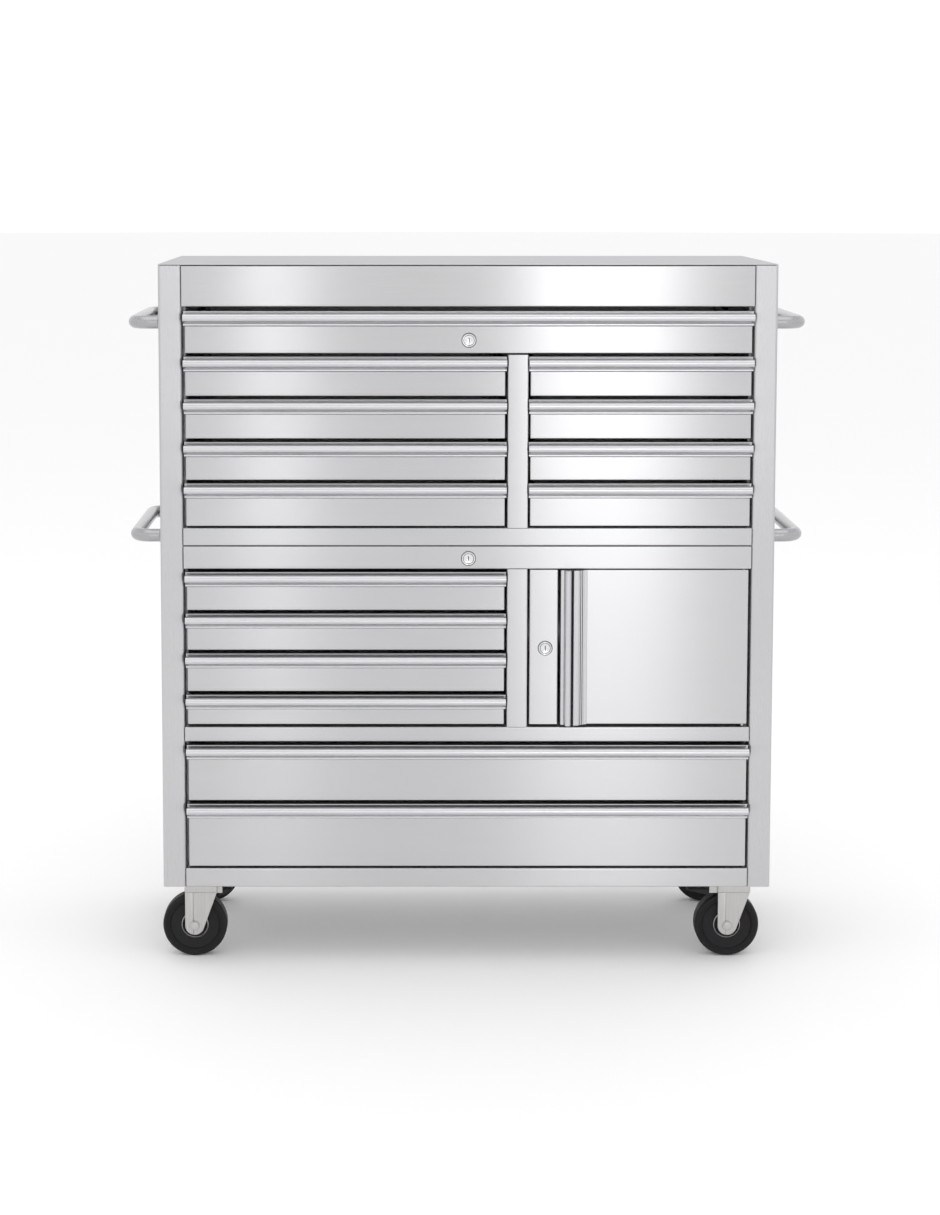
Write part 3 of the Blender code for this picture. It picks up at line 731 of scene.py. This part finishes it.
# ---- Door ----------------------------------------------------------------------------------
# A double-skinned leaf on two hidden pivots at its right edge. Its pull is one upright
# extrusion: a flat lip, a round bar, a finger groove and a stepped edge on the leaf's side.
def plain_finish(name, colour, rough, metal, variation=0.25, bump=0.1, scale=260.0, shine=0.5):
    """Moulded or painted surface with a fine texture."""
    look = bpy.data.materials.new(name)
    look.use_nodes = True
    tree = look.node_tree
    shader = tree.nodes["Principled BSDF"]
    shader.inputs["Metallic"].default_value = metal
    where = tree.nodes.new("ShaderNodeTexCoord").outputs["Object"]
    fine = noise(tree, where, scale, 4.0, (1, 1, 1))
    wide = noise(tree, where, 22.0, 4.0, (1, 1, 1))
    lighter = tuple(value * (1 + variation) for value in colour)
    tree.links.new(mixed(tree, ranged(tree, wide, 0.0, 1.0), colour, lighter), shader.inputs["Base Color"])
    tree.links.new(ranged(tree, wide, rough[0], rough[1]), shader.inputs["Roughness"])
    shader.inputs["Specular IOR Level"].default_value = shine
    relief = tree.nodes.new("ShaderNodeBump")
    relief.inputs["Strength"].default_value = bump
    relief.inputs["Distance"].default_value = 0.0003
    tree.links.new(fine, relief.inputs["Height"])
    tree.links.new(relief.outputs[0], shader.inputs["Normal"])
    return look


# This black is the keyway's colour and also the painted shade of the door pull's strips and the lock's rings.
keyway_black = plain_finish("keyway_black", (0.012, 0.012, 0.012), (0.5, 0.6), 0.0)
aluminium_upright = brushed_metal("satin_aluminium_upright", "Z", (0.55, 0.55, 0.565), (0.62, 0.62, 0.635),
                                  (0.24, 0.31), 0.02, 0.5)
door_low, door_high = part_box("door_panel")
hinge = next(joint for joint in frame["joints"] if joint["child"] == "door")
HINGE_X, HINGE_Y = hinge["pos_m"][0], hinge["pos_m"][1]
leaf = rounded_box((door_low.x, FRONT, door_low.z), (door_high.x, door_high.y, door_high.z), 0.0018, 4)
piece("door_leaf", leaf, steel_level, "door", ("door_panel",))
bar_low, bar_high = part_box("door_pull")


def door_pull_section():
    """Points (across, out) from the flat lip on the free edge to the stepped edge."""
    lip = [(0.0, TOUCH), (0.0, 0.0052), *arc((0.0012, 0.0052), 0.0010, 180, 90, 3)]
    lip += [(0.0056, 0.0062), (0.0062, 0.0056)]
    bar = arc((0.0133, 0.0125), 0.0061, 215, -32, 22)
    groove = [(0.0166, 0.0052), (0.0180, 0.0026), (0.0222, 0.0026)]
    ridge = [(0.0226, 0.0080), *arc((0.0260, 0.0088), 0.0028, 170, 90, 5), (0.0318, 0.0116)]
    ridge += arc((0.0322, 0.0086), 0.0030, 90, 15, 5)
    steps = [(0.0338, 0.0042), (0.0346, 0.0080), (0.0366, 0.0080), (0.0374, 0.0036), (0.0382, 0.0066)]
    steps += [(0.0402, 0.0066), (0.0410, 0.0026), (0.0418, 0.0050), (0.0438, 0.0050)]
    edge = [(0.0446, 0.0022), (0.0500, 0.0020), (0.0506, 0.0014), (0.0507, TOUCH)]
    return [*lip, *bar, *groove, *ridge, *steps, *edge]


outline = [(bar_low.x + across, FRONT - out) for across, out in door_pull_section()]
bar = drawn_out(outline, "Z", bar_low.z, bar_high.z)
piece("door_pull_bar", bar, aluminium_upright, "door", ("door_pull",), "Z")
# These two black strips, in the line between lip and bar and in the finger groove, are painted shade: the
# dark of those recesses drawn as black pieces.
groove_shade_strips = []
for across, width in ((0.0064, 0.0014), (0.0186, 0.0034)):
    groove_shade_strips.append(rounded_box((bar_low.x + across, FRONT - 0.0058, bar_low.z + 0.0004),
                             (bar_low.x + across + width, FRONT - 0.0020, bar_high.z - 0.0004), 0.0003, 1))
piece("door_pull_seals", join(groove_shade_strips), keyway_black, "door")
PIVOT_RADIUS = 0.0035


def round_bar(start, end, radius, segments=24, top_radius=None):
    shape = bmesh.new()
    start, end = Vector(start), Vector(end)
    turn = Vector((0, 0, 1)).rotation_difference(end - start).to_matrix().to_4x4()
    bmesh.ops.create_cone(shape, cap_ends=True, segments=segments, radius1=radius,
                          radius2=radius if top_radius is None else top_radius,
                          depth=(end - start).length, matrix=Matrix.Translation((start + end) / 2) @ turn)
    return shape


for label, z, reach in (("lower", door_low.z, -0.004), ("upper", door_high.z, 0.0012)):
    pin = round_bar((HINGE_X, HINGE_Y, z - reach * 0.1), (HINGE_X, HINGE_Y, z + reach), PIVOT_RADIUS)
    piece(f"door_{label}_pivot", pin, zinc, "door")


# ---- Key locks -----------------------------------------------------------------------------
# Each lock has a chromed collar pressed into the sheet and a plug that turns in it. The plug
# has a keyway in a shallow dish, a barrel behind the sheet, and a cam.
CHROME_DARK, CHROME_LIGHT = (0.68, 0.68, 0.69), (0.78, 0.78, 0.79)
CAM_HALF, CAM_THICKNESS = 0.006, 0.0021
KEY_SLOT_HALF_WIDTH, KEY_SLOT_HALF_HEIGHT = 0.0008, 0.0046
chrome = brushed_metal("polished_chrome", "X", CHROME_DARK, CHROME_LIGHT, (0.07, 0.12), 0.01, 0.0)


def turned(profile, place, steps=40, ring_shaped=False):
    """Spins (radius, height) points round +Z and moves them to a place. A ring keeps its hole."""
    shape = bmesh.new()
    rings = []
    for radius, height in profile:
        ring = []
        for i in range(steps):
            angle = 2 * pi * i / steps
            ring.append(shape.verts.new(place @ Vector((radius * cos(angle), radius * sin(angle), height))))
        rings.append(ring)
    following = rings[1:]
    if ring_shaped:
        following = rings[1:] + rings[:1]
    for near, far in zip(rings, following):
        for i in range(steps):
            after = (i + 1) % steps
            shape.faces.new((near[i], near[after], far[after], far[i]))
    if not ring_shaped:
        shape.faces.new(rings[0][::-1])
        shape.faces.new(rings[-1])
    bmesh.ops.recalc_face_normals(shape, faces=shape.faces)
    return shape


def facing_front(x, y, z):
    return Matrix.Translation((x, y, z)) @ Matrix.Rotation(pi / 2, 4, "X")


for joint in frame["joints"]:
    if not joint["name"].endswith("lock_turn"):
        continue
    node = joint["name"][: -len("_turn")]
    x, y, z = joint["pos_m"]
    low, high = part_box(node)
    front_y = low.y
    place = facing_front(x, FRONT, z)
    out = FRONT - front_y
    collar = [(0.0100, 0.0002), (0.0134, 0.0002), (0.0134, 0.0012), (0.0127, out - 0.0007)]
    collar += [(0.0120, out), (0.0109, out), (0.0103, out - 0.0005), (0.0100, out - 0.0014)]
    piece(f"{node}_collar", turned(collar, place, ring_shaped=True), chrome, joint["parent"])
    # The black ring round the collar's foot and the black ring at the floor of the gap between collar and
    # plug are painted shade, the dark of that edge and that recess drawn in black.
    collar_shade_outline = [(0.0130, 0.0001), (0.0142, 0.0001), (0.0141, 0.0005), (0.0130, 0.0007)]
    collar_shade_ring = turned(collar_shade_outline, place, ring_shaped=True)
    recess_shade_outline = [(0.0086, 0.0002), (0.0101, 0.0002), (0.0101, 0.0007), (0.0086, 0.0007)]
    recess_shade_ring = turned(recess_shade_outline, place, ring_shaped=True)
    piece(f"{node}_gasket", join([collar_shade_ring, recess_shade_ring]), keyway_black, joint["parent"])
    plug = [(0.0095, 0.0004), (0.0095, out - 0.0012), (0.0088, out - 0.0006)]
    plug += [(0.0068, out - 0.0007), (0.0058, out - 0.0015), (0.0030, out - 0.0017), (0.0004, out - 0.0017)]
    barrel = turned([(0.0094, 0.0006), (0.0094, -0.012), (0.0088, -0.013), (0.0088, -0.0255)], place)
    cam_length = z - low.z
    cam = rounded_box((x - CAM_HALF, high.y - CAM_THICKNESS, z - cam_length),
                      (x + CAM_HALF, high.y - 0.0002, z + CAM_HALF), 0.0008, 2)
    piece(f"{node}_plug", join([turned(plug, place), barrel, cam]), chrome, joint["child"], (node,))
    slot_low = (x - KEY_SLOT_HALF_WIDTH, z - KEY_SLOT_HALF_HEIGHT)
    slot_high = (x + KEY_SLOT_HALF_WIDTH, z + KEY_SLOT_HALF_HEIGHT)
    slot_outline = [slot_low, (slot_high[0], slot_low[1]), slot_high, (slot_low[0], slot_high[1])]
    keyway = drawn_out(slot_outline, "Y", front_y + 0.0014, front_y + 0.0022)
    piece(f"{node}_keyway", keyway, keyway_black, joint["child"])


# ---- Side handles --------------------------------------------------------------------------
# Bent 25 mm satin steel tube, level with the floor, with a welded flange at each end against
# the side panel.
satin_tube = brushed_metal("satin_tube", "Y", (0.37, 0.37, 0.38), (0.45, 0.45, 0.46), (0.22, 0.30), 0.02, 0.4)
TUBE_RADIUS = 0.0125
TUBE_BEND = 0.030


def tube(route, radius, segments=28):
    """Tube along a level route of (x, y, z) points, with closed ends."""
    shape = bmesh.new()
    rings = []
    for i, point in enumerate(route):
        ahead = (route[min(i + 1, len(route) - 1)] - route[max(i - 1, 0)]).normalized()
        across = ahead.cross(Vector((0, 0, 1))).normalized()
        ring = []
        for step in range(segments):
            angle = 2 * pi * step / segments
            outward = across * cos(angle) + Vector((0, 0, 1)) * sin(angle)
            ring.append(shape.verts.new(point + outward * radius))
        rings.append(ring)
    for near, far in zip(rings, rings[1:]):
        for i in range(segments):
            after = (i + 1) % segments
            shape.faces.new((near[i], near[after], far[after], far[i]))
    shape.faces.new(rings[0][::-1])
    shape.faces.new(rings[-1])
    bmesh.ops.recalc_face_normals(shape, faces=shape.faces)
    return shape


for level in ("upper", "lower"):
    for side, label in ((-1, "left"), (1, "right")):
        node = f"{level}_{label}_handle"
        low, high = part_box(node)
        z = (low.z + high.z) / 2
        start, end = low.y + TUBE_RADIUS, high.y - TUBE_RADIUS
        reach = max(abs(low.x), abs(high.x)) - TUBE_RADIUS
        near = arc((reach - TUBE_BEND, start + TUBE_BEND), TUBE_BEND, -90, 0, 12)
        far = arc((reach - TUBE_BEND, end - TUBE_BEND), TUBE_BEND, 0, 90, 12)
        route = [(SIDE + 0.0004, start), *near, *far, (SIDE + 0.0004, end)]
        grip = tube([Vector((side * x, y, z)) for x, y in route], TUBE_RADIUS)
        piece(f"{node}_tube", grip, satin_tube, CABINET, (node,), "Y")
        for end_label, y in (("front", start), ("rear", end)):
            place = Matrix.Translation((side * SIDE, y, z)) @ Matrix.Rotation(side * pi / 2, 4, "Y")
            flange = [(0.0120, 0.0003), (0.0205, 0.0003), (0.0205, 0.0016), (0.0195, 0.0026)]
            flange += [(0.0165, 0.0030), (0.0150, 0.0052), (0.0131, 0.0064), (0.0120, 0.0064)]
            flange_ring = turned(flange, place, ring_shaped=True)
            piece(f"{node}_{end_label}_flange", flange_ring, satin_tube, CABINET)


# ---- Casters: top plates, races and bolts --------------------------------------------------
# Each caster bolts to the floor pan by a pressed plate with four hex bolts. Under the plate
# sits the fixed race, and the fork's crown turns on the balls inside it.
PLATE_TOP = BODY_FLOOR
PLATE_BOTTOM = 0.150
PLATE_HALF_LENGTH, PLATE_HALF_WIDTH = 0.045, 0.0315
casters = [joint for joint in frame["joints"] if joint["name"].endswith("_swivel")]
for joint in casters:
    label = joint["child"][: -len("_caster")]
    x, y, crown_top = joint["pos_m"]
    plate = rounded_box((x - PLATE_HALF_LENGTH, y - PLATE_HALF_WIDTH, PLATE_BOTTOM),
                        (x + PLATE_HALF_LENGTH, y + PLATE_HALF_WIDTH, PLATE_TOP - 0.0002), 0.0012, 2)
    place = Matrix.Translation((x, y, 0))
    race = [(0.0040, 0.1436), (0.0240, 0.1436), (0.0265, 0.1446)]
    race += [(0.0285, 0.1470), (0.0290, 0.1490), (0.0300, 0.1501)]
    piece(f"{label}_caster_plate", join([plate, turned(race, place)]), zinc, CABINET)
    bolts = [(x + dx, y + dy, PLATE_BOTTOM) for dx in (-0.036, 0.036) for dy in (-0.022, 0.022)]
    fasteners(f"{label}_plate_bolts", bolts, (0, 0, -1), zinc, CABINET,
              0.0052, 0.0052, 0.0072, 6)


# ---- Casters: forks ------------------------------------------------------------------------
# One pressing: a crown with a rolled skirt, and two legs that narrow to a round end at the
# axle. A crease runs down each leg, and a hex bolt and a nut close the axle.
WHEEL_RADIUS = 0.0625
LEG_END = 0.0185
LEG_SHEET = 0.0025
CROWN_SKIRT = 0.1275
for joint in casters:
    label = joint["child"][: -len("_caster")]
    x, y, crown_top = joint["pos_m"]
    low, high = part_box(f"{label}_caster_fork")
    axle_x = low.x + LEG_END
    left, right = low.x, high.x
    outside = (high.y - low.y) / 2 - 0.003
    legs = []
    crease = left + 0.016
    for side in (-1, 1):
        outline = [
            (left, crown_top - 0.0030),
            *arc((axle_x, WHEEL_RADIUS), LEG_END, 180, 340, 18),
            (right - 0.0002, 0.1280),
            (right, 0.1330),
            (right, crown_top - 0.0030),
        ]
        near, far = sorted((y + side * (outside - LEG_SHEET), y + side * outside))
        leg = drawn_out(outline, "Y", near, far)
        for cut in (crease - 0.0008, crease, crease + 0.0008):
            everything = list(leg.verts) + list(leg.edges) + list(leg.faces)
            bmesh.ops.bisect_plane(leg, geom=everything, plane_co=(cut, 0, 0), plane_no=(1, 0, 0))
        for vert in leg.verts:
            if abs(vert.co.x - crease) < 0.0001 and abs(vert.co.y - y) > outside - 0.0002:
                vert.co.y -= side * 0.0010
        rim = [edge for edge in leg.edges if edge.calc_face_angle(0) > 1.2]
        bmesh.ops.bevel(leg, geom=rim, offset=0.0005, segments=2, profile=0.5, affect="EDGES")
        legs.append(leg)
    crown = rounded_box((left - 0.0010, y - outside - 0.0012, CROWN_SKIRT),
                        (right + 0.0010, y + outside + 0.0012, crown_top), 0.0030, 4)
    fork = join([*legs, crown])
    piece(f"{label}_fork", fork, zinc, joint["child"], (f"{label}_caster_fork",), "Z")
    axle = round_bar((axle_x, y - outside - 0.0012, WHEEL_RADIUS),
                     (axle_x, y + outside + 0.0012, WHEEL_RADIUS), 0.0058)
    piece(f"{label}_axle", axle, zinc, joint["child"])
    for facing, end in (((0, -1, 0), y - outside), ((0, 1, 0), y + outside)):
        name = f"{label}_axle_{'bolt' if facing[1] < 0 else 'nut'}"
        fasteners(name, [(axle_x, end, WHEEL_RADIUS)], facing, zinc, joint["child"],
                  0.0080, 0.0042, 0.0100, 6)


# ---- Casters: wheels -----------------------------------------------------------------------
# Black rubber is moulded on a black core, with fine turning rings on its flanks, and a bright
# steel hub cup holds the bearing. The core's black is also painted shade for the dark inside the hub ring.
tyre_rubber = plain_finish("moulded_rubber", (0.006, 0.006, 0.007), (0.50, 0.62), 0.0, 0.5, 0.12, 900.0, 0.28)


def tyre_section():
    """Half of the tyre and core, as (radius, out), from the hub to the middle of the tread."""
    flank = [(0.0262, 0.0118), (0.0300, 0.0124), (0.0440, 0.0122)]
    flank += [(0.0452, 0.0134), (0.0468, 0.0134), (0.0474, 0.0146)]
    for ring in range(4):
        radius = 0.0486 + ring * 0.0021
        flank += [(radius, 0.0158), (radius + 0.0007, 0.0152), (radius + 0.0014, 0.0158)]
    tread = arc((0.0565, 0.0100), 0.0060, 75, 8, 8)
    return flank + tread + [(WHEEL_RADIUS, 0.0060)]


for joint in casters:
    label = joint["child"][: -len("_caster")]
    roll = next(item for item in frame["joints"] if item["name"] == f"{label}_roll")
    x, y, z = roll["pos_m"]
    place = facing_front(x, y, z)
    half = tyre_section()
    whole = half + [(radius, -out) for radius, out in reversed(half)]
    tyre = turned(whole, place, 72, True)
    piece(f"{label}_tyre", tyre, tyre_rubber, roll["child"], (f"{label}_wheel",), smooth=50)
    # The core is drawn in the tyre's black, its own colour and also painted shade for the dark inside the hub
    # ring.
    core = [(0.0066, 0.0165), (0.0125, 0.0165), (0.0135, 0.0125), (0.0242, 0.0100), (0.0262, 0.0100)]
    core = core + [(radius, -out) for radius, out in reversed(core)]
    piece(f"{label}_core", turned(core, place, 48, True), tyre_rubber, roll["child"])
    cup = [(0.0238, 0.0104), (0.0242, 0.0142), (0.0250, 0.0148), (0.0259, 0.0142), (0.0261, 0.0104)]
    cups = [turned([(radius, side * out) for radius, out in cup], place, 48, True) for side in (-1, 1)]
    piece(f"{label}_hub_rings", join(cups), zinc, roll["child"])


# ---- Brake pedals --------------------------------------------------------------------------
# A black pressed lever on each front caster, a wedge that rises from its heel to its tip. It
# pivots on a pin between two ears of the fork, and ribs on its tread keep a shoe from slipping.
pedal_black = plain_finish("pedal_black", (0.008, 0.008, 0.009), (0.34, 0.48), 0.0, 0.4, 0.08, 500.0, 0.3)
PEDAL_SHEET = 0.0025
for joint in frame["joints"]:
    if not joint["name"].endswith("_brake_press"):
        continue
    label = joint["name"][: -len("_brake_press")]
    node = f"{label}_brake_pedal"
    low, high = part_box(node)
    x, y, z = joint["pos_m"]
    side = 1 if high.x - x > x - low.x else -1
    tip = high.x if side > 0 else low.x
    start = low.x if side > 0 else high.x
    outline = [(start, high.z), (start, low.z), (x, low.z), (tip, high.z - 0.003), (tip, high.z)]
    cheeks = [drawn_out(outline, "Y", edge, edge + PEDAL_SHEET) for edge in (low.y, high.y - PEDAL_SHEET)]
    line = [(start, low.z + 0.0013), (x, low.z + 0.0013), (tip - side * 0.0012, high.z - 0.0026)]
    web = drawn_out(sheet_outline(line, 0.003, PEDAL_SHEET), "Y", low.y + 0.0005, high.y - 0.0005)
    tread_ends = sorted((start, tip))
    tread = rounded_box((tread_ends[0], low.y, high.z - PEDAL_SHEET),
                        (tread_ends[1], high.y, high.z), 0.0008, 2)
    ribs = []
    for i in range(4):
        near = tip - side * (0.0030 + i * 0.0040)
        ends = sorted((near, near - side * 0.0018))
        ribs.append(rounded_box((ends[0], low.y + 0.003, high.z - 0.0005),
                                (ends[1], high.y - 0.003, high.z + 0.0011), 0.0005, 2))
    piece(f"{node}_lever", join([*cheeks, web, tread, *ribs]), pedal_black, joint["child"],
          (node,))
    pin = round_bar((x, low.y - 0.0032, z), (x, high.y + 0.0032, z), 0.0028)
    piece(f"{node}_pin", pin, zinc, joint["parent"])
    crown_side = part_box(f"{label}_caster_fork")[1 if side > 0 else 0].x
    ends = sorted((crown_side - side * 0.003, x + side * 0.0045))
    ears = []
    for edge in (low.y - 0.0026, high.y + 0.0006):
        ears.append(rounded_box((ends[0], edge, z - 0.0050), (ends[1], edge + 0.0020, z + 0.0100), 0.0008, 2))
    piece(f"{label}_brake_ears", join(ears), zinc, joint["parent"])
